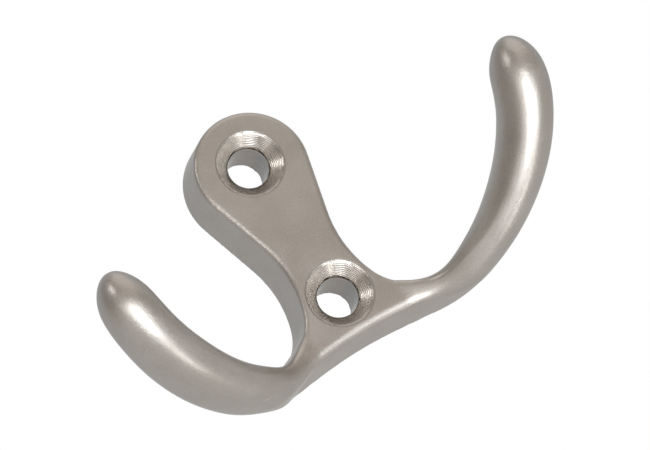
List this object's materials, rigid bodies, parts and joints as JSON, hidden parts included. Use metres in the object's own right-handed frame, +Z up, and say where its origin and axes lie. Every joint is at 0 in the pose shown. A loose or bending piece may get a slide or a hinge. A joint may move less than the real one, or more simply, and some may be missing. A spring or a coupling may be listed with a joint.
{
  "type": "double robe hook",
  "caption": "Cast wall hook: a keyhole-shaped screw plate with countersunk holes and oval arms that sweep forward and up to rounded tips.",
  "frame": {"origin": "on the wall face of the screw plate, midway between the two screw holes", "axes": "+X to the right seen from the room, +Y into the wall, +Z up"},
  "size_m": [0.0616, 0.0294, 0.0339],
  "materials": {
    "satin_nickel": "satin nickel plate on die-cast zinc alloy"
  },
  "bodies": {
    "root": {"robe_hook": "satin_nickel"}
  },
  "joints": []
}
